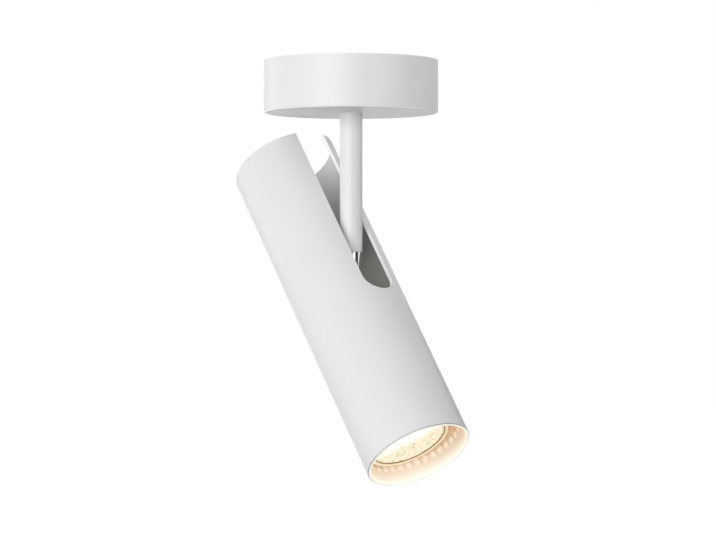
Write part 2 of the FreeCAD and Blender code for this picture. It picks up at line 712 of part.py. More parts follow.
def fork():
    """The lower half of the knuckle with its pivot screw, fixed through the carrier by one nut."""
    barrel = rod("knuckle_diameter", CARRIER_TOP, KNUCKLE_RADIUS)
    cheeks = fuse(
        rod("knuckle_diameter", *across("fork_flats"), "y"),
        block(across("knuckle_diameter"), across("fork_flats"), ("-fork_slot_depth - fork_shoulder", "0")),
    )
    foot = rod("knuckle_diameter", CARRIER_TOP, "-fork_slot_depth - fork_shoulder")
    thread = rod("thread_diameter", f"{KNUCKLE_NUT_FLOOR} - overrun", CARRIER_TOP)
    slot = block(across("2 * knuckle_diameter"), across(f"2 * {FORK_INSIDE}"),
                 ("-fork_slot_depth", "knuckle_diameter"))
    hole = rod("pivot_diameter + 2 * slip_gap", *across("fork_flats"), "y")
    node("knuckle_lower", cut(fuse(common(barrel, cheeks), foot, thread), slot, hole), HEAD_PLACE)

    washer_inside = "(tongue_thickness / 2 + turning_gap)"
    washers = [
        cut(rod("knuckle_diameter - 1", low, high, "y"), rod("pivot_diameter + 2 * slip_gap", low, high, "y"))
        for low, high in ((washer_inside, FORK_INSIDE), (f"-{FORK_INSIDE}", f"-{washer_inside}"))
    ]
    node("pivot_washers", fuse(*washers), HEAD_PLACE)
    nut_end = f"({FORK_OUTSIDE} + pivot_nut_height)"
    node("pivot_screw", screw("pivot_diameter", "pivot_head", f"-{FORK_OUTSIDE}", f"{nut_end} + overrun", "y"),
         HEAD_PLACE)
    node("pivot_nut", nut("pivot_nut_flats", "pivot_diameter + 2 * thread_gap", FORK_OUTSIDE, nut_end, "y"),
         HEAD_PLACE)
    threaded = "thread_diameter + 2 * thread_gap"
    node("knuckle_washer", ring("washer", threaded, "knuckle_washer_diameter", KNUCKLE_WASHER_FLOOR, CARRIER_FLOOR),
         HEAD_PLACE)
    node("knuckle_nut", nut("nut_flats", threaded, KNUCKLE_NUT_FLOOR, KNUCKLE_WASHER_FLOOR), HEAD_PLACE)


def carrier_screw_spots():
    """The heights of the two screws through the tube's back wall."""
    first = f"({CARRIER_FLOOR} - carrier_screw_head)"
    return (first, f"({first} - carrier_screw_pitch)")


def back_screw(height, gap):
    """A countersunk screw along X through the back wall, or with a gap the hole that it needs."""
    outside = f"(-{HEAD_RADIUS})"
    head = f"(carrier_screw_head + 2 * {gap})"
    shank = f"(carrier_screw_diameter + 2 * {gap})"
    return fuse(
        cone(head, shank, outside, f"{outside} + ({head} - {shank}) / 2", "x", ("0", height)),
        rod(shank, outside, f"{outside} + carrier_screw_length", "x", ("0", height)),
    )


def head_tube():
    tube = turned("tube", [
        (HEAD_BORE, "-head_below"), (HEAD_RADIUS, "-head_below"),
        (HEAD_RADIUS, "head_above"), (HEAD_BORE, "head_above"),
    ])
    for height in ("-head_below", "head_above"):
        rounded(tube, "head_edge_round", ring_at(HEAD_RADIUS, height))
        rounded(tube, "head_inside_round", ring_at(HEAD_BORE, height))
    slit_floor = "(-slit_end + slit_width / 2)"
    slit = fuse(
        rod("slit_width", "0", "head_diameter", "x", ("0", slit_floor)),
        block(("0", "head_diameter"), across("slit_width"), (slit_floor, "head_above + overrun")),
    )
    holes = [back_screw(height, "slip_gap") for height in carrier_screw_spots()]
    node("head_tube", cut(tube, slit, *holes), HEAD_PLACE)


def carrier():
    """The shelf that holds the knuckle and the lampholder, and the screws that hold it to the tube."""
    shelf = rod(f"2 * {CARRIER_RADIUS}", CARRIER_FLOOR, CARRIER_TOP)
    tab = turned("tab", [
        (f"{CARRIER_RADIUS} - carrier_thickness", f"{CARRIER_TOP} - carrier_tab - carrier_thickness"),
        (CARRIER_RADIUS, f"{CARRIER_TOP} - carrier_tab - carrier_thickness"),
        (CARRIER_RADIUS, CARRIER_TOP), (f"{CARRIER_RADIUS} - carrier_thickness", CARRIER_TOP),
    ], angle="carrier_tab_angle", middle=True)
    turn_to(tab, 180)
    centre = rod("thread_diameter + 2 * slip_gap", CARRIER_FLOOR, CARRIER_TOP)
    window = rod("carrier_window", CARRIER_FLOOR, CARRIER_TOP, at=(WIRE_LINE, "0"))
    taps = [
        rod("carrier_screw_diameter + 2 * thread_gap", f"-{CARRIER_RADIUS} - overrun", "-carrier_thickness", "x",
            ("0", height))
        for height in carrier_screw_spots()
    ]
    post_holes = [
        rod("holder_screw_diameter + 2 * thread_gap", CARRIER_FLOOR, CARRIER_TOP,
            at=(LAMP_OUT, f"{LAMP_ASIDE} {side} {HOLDER_SPREAD} / 2"))
        for side in ("-", "+")
    ]
    earth_hole = rod("earth_screw_diameter + 2 * thread_gap", CARRIER_FLOOR, CARRIER_TOP, at=EARTH_SPOT)
    node("carrier_bracket", cut(fuse(shelf, tab), centre, window, earth_hole, *taps, *post_holes), HEAD_PLACE)
    screws = [
        cut(
            back_screw(height, "0"),
            block((f"-{HEAD_RADIUS}", f"-{HEAD_RADIUS} + carrier_screw_diameter / 3"),
                  across("carrier_screw_diameter * slot_width_share"),
                  (f"{height} - carrier_screw_head", f"{height} + carrier_screw_head")),
        )
        for height in carrier_screw_spots()
    ]
    inside = rod("head_diameter - slip_gap", "-head_below", "head_above")
    node("carrier_screws", common(fuse(*screws), inside), HEAD_PLACE)
    node("carrier_earth_screw", screw(
        "earth_screw_diameter", "earth_screw_diameter * head_width_share", CARRIER_TOP,
        f"{CARRIER_FLOOR} - overrun", at=EARTH_SPOT, above=True,
    ), HEAD_PLACE)


def keyholes(width, entry, low, high):
    """Two curved slots, each along the path of a pin from the locked to the open place."""
    shapes = []
    for start in (0, 180):
        outer = rod(f"pin_pitch + {width}", low, high)
        inner = rod(f"pin_pitch - {width}", low, high)
        for barrel in (outer, inner):
            bind(barrel, "Angle", "keyhole_turn")
        arc = cut(outer, inner)
        locked = rod(width, low, high, at=("pin_pitch / 2", "0"))
        opened = rod(entry, low, high, at=(
            "pin_pitch / 2 * cos(keyhole_turn * 1deg)", "pin_pitch / 2 * sin(keyhole_turn * 1deg)"))
        shapes.append(turn_to(fuse(arc, locked, opened), start))
    return shapes


def lampholder():
    posts = [("0", f"{side}{HOLDER_SPREAD} / 2") for side in ("-", "")]
    pillars = [
        cut(rod("holder_post_diameter", CAP_TOP, CARRIER_FLOOR, at=spot),
            rod("holder_screw_diameter + 2 * thread_gap", CAP_TOP, CARRIER_FLOOR, at=spot))
        for spot in posts
    ]
    node("holder_posts", fuse(*pillars), LAMP_PLACE)

    rim = f"{HOLDER_DIAMETER} / 2"
    chamber_width = "(pin_head + 2 * contact_thickness + 4 * slip_gap)"
    body = turned("ceramic", [
        ("0", HOLDER_FLOOR), (f"{rim} - holder_chamfer", HOLDER_FLOOR),
        (rim, f"{HOLDER_FLOOR} + holder_chamfer"), (rim, HOLDER_TOP), ("0", HOLDER_TOP),
    ])
    through = [rod("holder_screw_diameter + 2 * slip_gap", HOLDER_FLOOR, HOLDER_TOP, at=spot) for spot in posts]
    wells = [
        rod("holder_screw_head + 2 * slip_gap", HOLDER_FLOOR, f"{HOLDER_FLOOR} + holder_screw_well", at=spot)
        for spot in posts
    ]
    pockets = [
        rod("contact_post + 2 * slip_gap", POST_FLOOR, HOLDER_TOP, at=(f"{side}{CONTACT_MIDDLE}", "0"))
        for side in ("-", "")
    ]
    node("lampholder_body", cut(
        body, *keyholes("keyhole_neck", "keyhole_entry", HOLDER_FLOOR, f"{HOLDER_FLOOR} + holder_face"),
        *keyholes(chamber_width, chamber_width, f"{HOLDER_FLOOR} + holder_face", CHAMBER_ROOF),
        *through, *wells, *pockets,
    ), LAMP_PLACE)
    cap_holes = [
        rod("contact_post + 2 * slip_gap", HOLDER_TOP, CAP_TOP, at=(f"{side}{CONTACT_MIDDLE}", "0"))
        for side in ("-", "")
    ]
    cap_through = [rod("holder_screw_diameter + 2 * slip_gap", HOLDER_TOP, CAP_TOP, at=spot) for spot in posts]
    lid = turned("lid", [
        ("0", HOLDER_TOP), (rim, HOLDER_TOP), (rim, f"{CAP_TOP} - holder_chamfer"),
        (f"{rim} - holder_chamfer", CAP_TOP), ("0", CAP_TOP),
    ])
    node("lampholder_cap", cut(lid, *cap_holes, *cap_through), LAMP_PLACE)

    clips = []
    for start in (0, 180):
        outer = rod(f"2 * ({CONTACT_RADIUS} + contact_thickness)", PIN_HEAD_FLOOR, CHAMBER_ROOF)
        inner = rod(f"2 * {CONTACT_RADIUS}", PIN_HEAD_FLOOR, CHAMBER_ROOF)
        for barrel in (outer, inner):
            bind(barrel, "Angle", "keyhole_turn")
        post = rod("contact_post", f"{POST_FLOOR} + slip_gap", POST_TOP, at=(CONTACT_MIDDLE, "0"))
        clips.append(turn_to(fuse(cut(outer, inner), post), start))
    node("lampholder_contacts", fuse(*clips), LAMP_PLACE)
    node("lampholder_screws", fuse(*[
        screw("holder_screw_diameter", "holder_screw_head", f"{HOLDER_FLOOR} + holder_screw_well",
              f"{CARRIER_TOP} + overrun", at=spot)
        for spot in posts
    ]), LAMP_PLACE)


def lamp():
    """A reflector lamp of the kind with two locking pins: base, housing, board, collimator lens and bezel."""
    rim_top = f"({LAMP_FACE} + lamp_rim)"
    shoulder = f"({LAMP_TOP} - lamp_base_height)"
    board = f"({LAMP_FACE} + board_depth)"
    led_floor = f"({board} - board_thickness - led_height)"
    half = "lamp_diameter / 2"
    neck = "lamp_base_diameter / 2"
    ledge = f"{half} - lamp_wall - lamp_ledge"
    housing = turned("housing", [
        (f"{half} - lamp_wall", rim_top), (half, rim_top), (half, f"{rim_top} + lamp_skirt"),
        (f"({half} + {neck}) / 2 + lamp_flare", f"({rim_top} + {shoulder}) / 2 + lamp_flare / 2"),
        (f"{neck} + lamp_shoulder", shoulder), (f"{neck} - lamp_wall", shoulder),
        (f"{neck} - lamp_wall", f"{shoulder} - lamp_wall"), (ledge, f"{board} + 2 * board_thickness"),
        (ledge, board), (f"{half} - lamp_wall", board),
    ])
    node("lamp_housing", housing, LAMP_PLACE)
    foot = turned("foot", [
        ("0", shoulder), (neck, shoulder), (neck, f"{LAMP_TOP} - lamp_base_chamfer"),
        (f"{neck} - lamp_base_chamfer", LAMP_TOP), ("0", LAMP_TOP),
    ])
    pin_spots = [(f"{side}pin_pitch / 2", "0") for side in ("-", "")]
    pin_foot = f"{LAMP_TOP} - pin_root"
    sockets = [rod("pin_neck + 2 * thread_gap", pin_foot, LAMP_TOP, at=spot) for spot in pin_spots]
    node("lamp_base", cut(foot, *sockets), LAMP_PLACE)
    pins = [
        fuse(rod("pin_neck", pin_foot, PIN_HEAD_FLOOR, at=spot),
             rod("pin_head", PIN_HEAD_FLOOR, f"{PIN_HEAD_FLOOR} + pin_head_height", at=spot))
        for spot in pin_spots
    ]
    node("lamp_pins", fuse(*pins), LAMP_PLACE)
    board_edge = f"({half} - lamp_wall - slip_gap)"
    node("lamp_board", turned("board", [
        ("0", f"{board} - board_thickness"), (board_edge, f"{board} - board_thickness"), (board_edge, board),
        ("0", board),
    ]), LAMP_PLACE)
    angles = [f"({60 * step} * 1deg)" for step in range(6)]
    led_spots = [(f"led_circle / 2 * cos{angle}", f"led_circle / 2 * sin{angle}") for angle in angles]
    leds = [
        block(*[(f"{centre} - led_side / 2", f"{centre} + led_side / 2") for centre in spot],
              (led_floor, f"{board} - board_thickness"))
        for spot in led_spots
    ]
    node("lamp_leds", fuse(*leds), LAMP_PLACE)
    disc = turned("lens", [
        ("0", f"{LAMP_FACE} + lens_sink"), (LENS_RADIUS, f"{LAMP_FACE} + lens_sink"), (LENS_RADIUS, rim_top),
        ("0", rim_top),
    ])
    collimators = [
        cone("collimator_width", "collimator_tip", rim_top, f"{led_floor} - slip_gap", at=spot)
        for spot in led_spots
    ]
    node("lamp_lens", fuse(disc, *collimators), LAMP_PLACE)
    seat = f"({LENS_RADIUS} + slip_gap)"
    node("lamp_bezel", turned("bezel", [
        (seat, f"{LAMP_FACE} + lens_sink"), (f"{seat} + lens_sink", LAMP_FACE),
        (f"{half} - bezel_chamfer", LAMP_FACE), (half, f"{LAMP_FACE} + bezel_chamfer"), (half, rim_top),
        (seat, rim_top),
    ]), LAMP_PLACE)


# The wires run side by side down the stem and come out behind the knuckle, on the side away from the slit
EXIT_HEIGHT = "(-pivot_drop + wire_exit)"
WIRE_LINE = "(-knuckle_diameter - wire_diameter / 2)"
EARTH_SPOT = (WIRE_LINE, "-knuckle_diameter")
EARTH_HEAD = "(earth_screw_diameter * head_height_share)"
CONTACT_MIDDLE = f"({CONTACT_RADIUS} + contact_thickness / 2)"


def supply_wires():
    """Wires from the terminal block to the mouth of the nipple, one at each pole, none crossing another."""
    level = INSERT_CENTRE
    start = "block_centre - block_depth / 2 + wire_grip"
    end = f"{NIPPLE_TOP} + wire_gap / 2"
    outer_lane = "-wire_pitch"
    inner_lane = "wire_pitch"
    wires("supply_wires", [
        [("-pole_pitch", start, level), ("-pole_pitch", outer_lane, level), ("0", outer_lane, level),
         ("0", outer_lane, end)],
        [("0", start, level), ("0", inner_lane, level), ("0", inner_lane, end)],
        [("pole_pitch", start, level), ("pole_pitch", "0", level), ("0", "0", level), ("0", "0", end)],
    ])


def stem_wires():
    outside = "(-knuckle_diameter * 0.75)"
    wires("stem_wires", [
        [("0", lane, f"{NIPPLE_TOP} - wire_gap / 2"), ("0", lane, EXIT_HEIGHT), (outside, lane, EXIT_HEIGHT),
         (outside, lane, f"{EXIT_HEIGHT} - wire_tail")]
        for lane in ("-wire_pitch", "0", "wire_pitch")
    ])


def head_wires():
    """The earth wire to its screw on the carrier, and two wires through its window to the contacts."""
    start = "(knuckle_diameter / 2)"
    earth_level = f"{CARRIER_TOP} + {EARTH_HEAD} + wire_diameter / 2 + thread_gap"
    contact_level = f"{POST_TOP} + wire_diameter / 2 + thread_gap"
    routes = [[
        (WIRE_LINE, "-wire_pitch", start), (WIRE_LINE, "-wire_pitch", earth_level), (*EARTH_SPOT, earth_level),
    ]]
    for lane, side in (("0", "-"), ("wire_pitch", "+")):
        routes.append([
            (WIRE_LINE, lane, start), (WIRE_LINE, lane, contact_level),
            (f"{LAMP_OUT} {side} {CONTACT_MIDDLE}", LAMP_ASIDE, contact_level),
        ])
    wires("head_wires", routes, HEAD_PLACE)


ceiling_bracket()
canopy()
terminals()
earth_terminal()
swivel()
stem()
fork()
head_tube()
carrier()
lampholder()
lamp()
supply_wires()
stem_wires()
head_wires()

document.recompute()
for thing in document.Objects:
    if "Invalid" in thing.State or "Error" in thing.State:
        raise RuntimeError(f"{thing.Label} failed: {thing.State}")
for thing in nodes:
    if thing.Shape.isNull() or not thing.Shape.isValid():
        raise RuntimeError(f"{thing.Label} has no valid shape")

os.makedirs("parts", exist_ok=True)
for thing in nodes:
    thing.Shape.exportStep(os.path.join("parts", f"{thing.Label}.step"))
print(len(nodes), "pieces written")
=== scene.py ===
import json
import math

import bmesh
import bpy
from mathutils import Matrix, Vector


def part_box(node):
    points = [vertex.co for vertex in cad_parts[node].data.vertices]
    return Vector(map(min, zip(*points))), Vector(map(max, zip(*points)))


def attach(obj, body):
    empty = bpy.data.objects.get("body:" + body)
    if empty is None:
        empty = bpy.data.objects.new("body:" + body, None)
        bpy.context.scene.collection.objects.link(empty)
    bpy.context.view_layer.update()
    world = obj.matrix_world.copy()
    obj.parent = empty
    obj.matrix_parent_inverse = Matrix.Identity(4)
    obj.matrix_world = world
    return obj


# The looks of a surface mounted ceiling spotlight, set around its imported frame. Metres, with +Z
# up. The origin is on the ceiling, the spotlight hangs below it, and the head tilts in the XZ
# plane with its slit towards +X.

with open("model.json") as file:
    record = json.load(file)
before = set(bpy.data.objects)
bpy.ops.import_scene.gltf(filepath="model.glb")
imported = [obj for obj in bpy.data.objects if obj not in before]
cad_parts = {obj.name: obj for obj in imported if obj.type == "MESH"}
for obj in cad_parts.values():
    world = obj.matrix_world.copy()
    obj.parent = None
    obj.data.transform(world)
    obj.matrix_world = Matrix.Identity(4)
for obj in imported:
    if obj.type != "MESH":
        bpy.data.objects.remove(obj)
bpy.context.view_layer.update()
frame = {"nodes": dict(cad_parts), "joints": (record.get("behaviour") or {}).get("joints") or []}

# The photograph's view: a long lens, a little below the canopy and almost level
PICTURE_WIDTH = 716
FOCAL_PIXELS = 3293
SENSOR_WIDTH = 36
CAMERA_PLACE = (1.4656, -1.1902, -0.1670)
CAMERA_TURN = math.radians(50.8)
CAMERA_RISE = math.radians(1.42)

BLACK = (0.0, 0.0, 0.0)
WHITE = (1.0, 1.0, 1.0)

# The part of a noise's range over which a finish changes, and a narrower one
SPREAD = (0.3, 0.7)
NARROW_SPREAD = (0.35, 0.65)

# Powder paint: its tone and how far that drifts, and the grain and depth of its orange peel
PAINT = (0.84, 0.84, 0.845)
PAINT_ROUGHNESS = 0.38
PAINT_DRIFT = 0.008
PAINT_DRIFT_SIZE = 0.03
PEEL = {"size": 0.0006, "detail": 1.5, "distance": 0.00003, "strength": 0.6}

# The canopy's lower edge, with a painted highlight on it: a lighter tone in the paint and a glow of
# emission
CANOPY_HIGHLIGHT_EDGE = 0.0006
CANOPY_HIGHLIGHT_TONE = (0.98, 0.98, 0.98)
CANOPY_HIGHLIGHT_GLOW = (0.15, 0.15, 0.15)

# The tube: its wall, and how near a face still counts as the inside or the rim
HEAD_WALL = 0.002
FACE_MARGIN = 0.0003
# Tones of the paint inside with painted shade over it, from the mouth at 0 to the top at 1, darkest
# where the slit shows it
INSIDE_PAINT_AND_SHADE = ((0.0, (0.84, 0.84, 0.84)), (0.15, (0.8, 0.78, 0.74)), (0.64, (0.8, 0.78, 0.74)),
                (0.72, (0.48, 0.47, 0.48)), (0.82, (0.58, 0.57, 0.58)), (1.0, (0.8, 0.8, 0.8)))
# The painted shade line round the mouth's outer edge
MOUTH_SHADE_WIDTH = 0.00035
MOUTH_SHADE_TONE = (0.3, 0.29, 0.32)
# The slit: half its width, how far above the pivot the centre of its round end is, and the
# painted highlight on its cut faces, with how far that reaches past the slit's edge. The highlight
# is a lighter tone in the paint and a glow of emission
SLIT_HALF = 0.01025
SLIT_ROUND = 0.00155
CUT_DEPTH = 0.00015
CUT_HIGHLIGHT_TONE = (0.98, 0.98, 0.98)
CUT_HIGHLIGHT_GLOW = (0.12, 0.12, 0.12)

# The lamp's light on the wall below it, from the mouth at 0 to the glow's reach at 1
GLOW_REACH = 0.02
GLOW_TONES = ((0.0, (0.5, 0.47, 0.38)), (0.12, (0.33, 0.26, 0.17)), (0.3, (0.24, 0.165, 0.085)),
              (0.5, (0.34, 0.21, 0.1)), (0.68, (0.5, 0.28, 0.14)), (0.85, (0.4, 0.2, 0.08)),
              (1.0, BLACK))
# The row of light beads on that wall, each full to its core and gone at its fade
BEADS_ROUND_MOUTH = 36
HALF_A_BEAD = 0.5
BEAD_HEIGHT = 0.0102
BEAD_SIZE = 0.0024
BEAD_CORE = 0.5 * BEAD_SIZE
BEAD_FADE = 1.08 * BEAD_SIZE
BEAD_TONE = (0.54, 0.43, 0.275)
ROW_CORE = 0.6 * BEAD_SIZE
ROW_FADE = 1.8 * BEAD_SIZE
ROW_SHADE = (0.31, 0.175, 0.068)

# The bezel ring's face, with a line of painted shade along its inner edge, its middle, and a line
# of painted shade along its outer edge
BEZEL_WIDTH = 0.0035
BEZEL_COLOUR = (0.9, 0.84, 0.72)
BEZEL_ROUGHNESS = 0.3
BEZEL_TONES_AND_SHADE = ((0.2, 0.12, 0.06), (0.85, 0.78, 0.62), (0.12, 0.07, 0.04))
BEZEL_GLOW_AND_SHADE = ((0.08, 0.04, 0.01), (0.4, 0.33, 0.2), (0.04, 0.02, 0.0))
INNER_SHADE_END = 0.1
MIDDLE_START = 0.2
MIDDLE_END = 0.66
OUTER_SHADE_START = 0.76

# The lens: clear plastic, its glow from between the domes at 0 to their tips at 1, the mottle
# that shifts that, and the painted white highlight on one side of its face
LENS_COLOUR = (0.55, 0.48, 0.38)
LENS_ROUGHNESS = 0.12
LENS_GLOW = ((0.0, (0.16, 0.15, 0.07)), (0.1, (0.5, 0.43, 0.28)), (0.4, (0.6, 0.52, 0.36)),
             (1.0, (0.65, 0.6, 0.47)))
LENS_MOTTLE = {"size": 0.0018, "detail": 1.0, "spread": (0.3, 0.47), "start": -0.5, "end": 0.45}
SHINE_TOWARDS = (0.61, -0.79)
SHINE_START = -0.005
SHINE_FULL = 0.002
SHINE_TONE = (0.76, 0.76, 0.72)
SHINE_WAVER = {"size": 0.006, "start": -0.002, "end": 0.002}

# The small domes on the lens, in rings round a wide one
LENS_BOSS = 0.0042
DOME_PITCH = 0.002
DOME_RADIUS = 0.00098
DOME_RISE = 0.0005
DOME_SINK = 0.00005
DOME_SEGMENTS = 10
DOME_RINGS = (1.0, 0.82, 0.5)

JOINTS = {joint["name"]: joint for joint in frame["joints"]}


def upright_frame(point, axis):
    """A frame at a point whose Z runs along the tube's axis and whose X looks out of the slit."""
    up = Vector(axis).normalized()
    side = Vector((0, 1, 0))
    out = side.cross(up)
    turned = Matrix((out, side, up)).transposed().to_4x4()
    return Matrix.Translation(Vector(point)) @ turned


HEAD = upright_frame(JOINTS["head_tilt"]["pos_m"], JOINTS["lamp_twist"]["axis"])
LAMP = upright_frame(JOINTS["lamp_twist"]["pos_m"], JOINTS["lamp_twist"]["axis"])


def local_span(node, place):
    """The lowest and highest corner of a node in a tilted frame."""
    back = place.inverted()
    spots = [back @ vertex.co for vertex in frame["nodes"][node].data.vertices]
    low = Vector([min(spot[axis] for spot in spots) for axis in range(3)])
    high = Vector([max(spot[axis] for spot in spots) for axis in range(3)])
    return low, high


def put(name, data):
    """A new object in the scene."""
    made = bpy.data.objects.new(name, data)
    bpy.context.scene.collection.objects.link(made)
    return made


# Nodes of a material

def start_material(name):
    """A material, the tree that feeds it, and its surface shader."""
    made = bpy.data.materials.new(name)
    made.use_nodes = True
    return made, made.node_tree, made.node_tree.nodes["Principled BSDF"]


def add(tree, kind, **settings):
    """A node with its properties, and its inputs where a setting's name is that of a socket."""
    made = tree.nodes.new(kind)
    for name, setting in settings.items():
        if name in made.bl_rna.properties:
            setattr(made, name, setting)
        else:
            made.inputs[name.replace("_", " ")].default_value = setting
    return made


def join(tree, start, end):
    tree.links.new(start, end)


def set_surface(shader, colour, roughness, metallic=0.0, **others):
    shader.inputs["Base Color"].default_value = (*colour, 1)
    shader.inputs["Roughness"].default_value = roughness
    shader.inputs["Metallic"].default_value = metallic
    for name, setting in others.items():
        shader.inputs[name.replace("_", " ")].default_value = setting


def maths(tree, operation, *values):
    """A maths node on outputs and plain numbers."""
    made = add(tree, "ShaderNodeMath", operation=operation)
    for place, value in zip(made.inputs, values):
        if isinstance(value, (int, float)):
            place.default_value = value
        else:
            join(tree, value, place)
    return made.outputs[0]


def every(tree, *tests):
    """One where each of the tests gives one, and else zero."""
    share = tests[0]
    for test in tests[1:]:
        share = maths(tree, "MULTIPLY", share, test)
    return share


def blend(tree, share, first, second):
    """Mixes two colours, each an output or a plain colour, by a share."""
    made = add(tree, "ShaderNodeMix", data_type="RGBA")
    join(tree, share, made.inputs["Factor"])
    ends = [place for place in made.inputs if place.type == "RGBA"]
    for end, colour in zip(ends, (first, second)):
        if isinstance(colour, tuple):
            end.default_value = (*colour, 1)
        else:
            join(tree, colour, end)
    return next(out for out in made.outputs if out.type == "RGBA")


def ramp(tree, value, low, high, start, end):
    """Spreads a value between two limits over two numbers or colours."""
    if isinstance(start, tuple):
        return blend(tree, ramp(tree, value, low, high, 0.0, 1.0), start, end)
    made = add(tree, "ShaderNodeMapRange")
    for name, number in (("From Min", low), ("From Max", high), ("To Min", start), ("To Max", end)):
        made.inputs[name].default_value = number
    join(tree, value, made.inputs["Value"])
    return made.outputs["Result"]


def colours(tree, value, stops, smooth=True):
    """A colour ramp over stops of a place and a colour."""
    made = add(tree, "ShaderNodeValToRGB")
    band = made.color_ramp
    band.interpolation = "EASE" if smooth else "LINEAR"
    while len(band.elements) < len(stops):
        band.elements.new(0.5)  # anywhere, since the stops set its place
    for element, (place, colour) in zip(band.elements, stops):
        element.position = place
        element.color = (*colour, 1)
    join(tree, value, made.inputs["Fac"])
    return made.outputs["Color"]


def place_of(tree):
    return add(tree, "ShaderNodeTexCoord").outputs["Object"]


def split(tree, place):
    """The three numbers of a place."""
    parts = add(tree, "ShaderNodeSeparateXYZ")
    join(tree, place, parts.inputs["Vector"])
    return parts.outputs["X"], parts.outputs["Y"], parts.outputs["Z"]


def local_place(tree, place):
    """Coordinates in a tilted frame, from those of the whole object."""
    mapping = add(tree, "ShaderNodeMapping", vector_type="TEXTURE")
    mapping.inputs["Location"].default_value = place.to_translation()
    mapping.inputs["Rotation"].default_value = place.to_euler()
    join(tree, place_of(tree), mapping.inputs["Vector"])
    return split(tree, mapping.outputs["Vector"])


def length_of(tree, across, aside):
    """The length of the line with these two sides, such as the distance from an axis."""
    squares = (maths(tree, "MULTIPLY", side, side) for side in (across, aside))
    return maths(tree, "SQRT", maths(tree, "ADD", *squares))


def grain(tree, size, detail=2.0, stretch=None):
    """A noise whose features are about this many metres across."""
    spot = place_of(tree)
    if stretch:
        mapping = add(tree, "ShaderNodeMapping", Scale=stretch)
        join(tree, spot, mapping.inputs["Vector"])
        spot = mapping.outputs["Vector"]
    noise = add(tree, "ShaderNodeTexNoise", Scale=1 / size, Detail=detail)
    join(tree, spot, noise.inputs["Vector"])
    return noise.outputs["Fac"]


def vary(tree, start, end, spread=SPREAD, **noise):
    """A number or colour that changes from its start to its end over a grain."""
    return ramp(tree, grain(tree, **noise), *spread, start, end)


def raise_surface(tree, shader, distance, strength, **noise):
    """Lets a grain stand up from the surface."""
    bump = add(tree, "ShaderNodeBump", Distance=distance, Strength=strength)
    join(tree, grain(tree, **noise), bump.inputs["Height"])
    join(tree, bump.outputs["Normal"], shader.inputs["Normal"])


# Paint, with its painted highlights and shade

def paint_skin(tree, shader):
    """The fine orange peel of powder paint, and the faint change of tone over it."""
    raise_surface(tree, shader, **PEEL)
    low, high = (tuple(part + drift for part in PAINT) for drift in (-PAINT_DRIFT, PAINT_DRIFT))
    return vary(tree, low, high, size=PAINT_DRIFT_SIZE)


def powder_coat():
    made, tree, shader = start_material("powder_coat")
    set_surface(shader, PAINT, PAINT_ROUGHNESS)
    join(tree, paint_skin(tree, shader), shader.inputs["Base Color"])
    return made


def canopy_coat():
    """Powder paint with a painted highlight round the canopy's lower edge."""
    made, tree, shader = start_material("canopy_coat")
    set_surface(shader, PAINT, PAINT_ROUGHNESS, Emission_Strength=1.0)
    low, high = (Vector(corner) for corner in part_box("canopy"))
    across, aside, height = split(tree, place_of(tree))
    reach = length_of(tree, across, aside)
    # The band round the lower edge that gets the painted highlight
    edge = every(tree, maths(tree, "GREATER_THAN", reach, (high.y - low.y) / 2 - CANOPY_HIGHLIGHT_EDGE),
                 maths(tree, "LESS_THAN", height, low.z + CANOPY_HIGHLIGHT_EDGE))
    tone = blend(tree, edge, paint_skin(tree, shader), CANOPY_HIGHLIGHT_TONE)
    join(tree, tone, shader.inputs["Base Color"])
    join(tree, blend(tree, edge, BLACK, CANOPY_HIGHLIGHT_GLOW), shader.inputs["Emission Color"])
    return made


def on_cut_face(tree, across, aside, height):
    """One on the cut faces of the slit, which runs up from its round end on the tube's +X side."""
    below_round = maths(tree, "MINIMUM", maths(tree, "SUBTRACT", height, SLIT_ROUND), 0.0)
    off_slit = length_of(tree, aside, below_round)
    return every(tree, maths(tree, "GREATER_THAN", across, 0.0),
                 maths(tree, "LESS_THAN", off_slit, SLIT_HALF + CUT_DEPTH))


def mouth_glow(tree, across, aside, above_rim, radius):
    """The lamp's light on the wall below it, with its row of beads."""
    glow = colours(tree, maths(tree, "DIVIDE", above_rim, GLOW_REACH), GLOW_TONES, smooth=False)
    beads_on = maths(tree, "MULTIPLY", maths(tree, "ARCTAN2", aside, across),
                     BEADS_ROUND_MOUTH / (2 * math.pi))
    off_round = maths(tree, "MULTIPLY", maths(tree, "PINGPONG", beads_on, HALF_A_BEAD),
                      2 * math.pi * radius / BEADS_ROUND_MOUTH)
    off_height = maths(tree, "SUBTRACT", above_rim, BEAD_HEIGHT)
    off_bead = length_of(tree, off_round, off_height)
    bead = ramp(tree, off_bead, BEAD_CORE, BEAD_FADE, 1.0, 0.0)
    row = ramp(tree, maths(tree, "ABSOLUTE", off_height), ROW_CORE, ROW_FADE, 1.0, 0.0)
    return blend(tree, bead, blend(tree, row, glow, ROW_SHADE), BEAD_TONE)


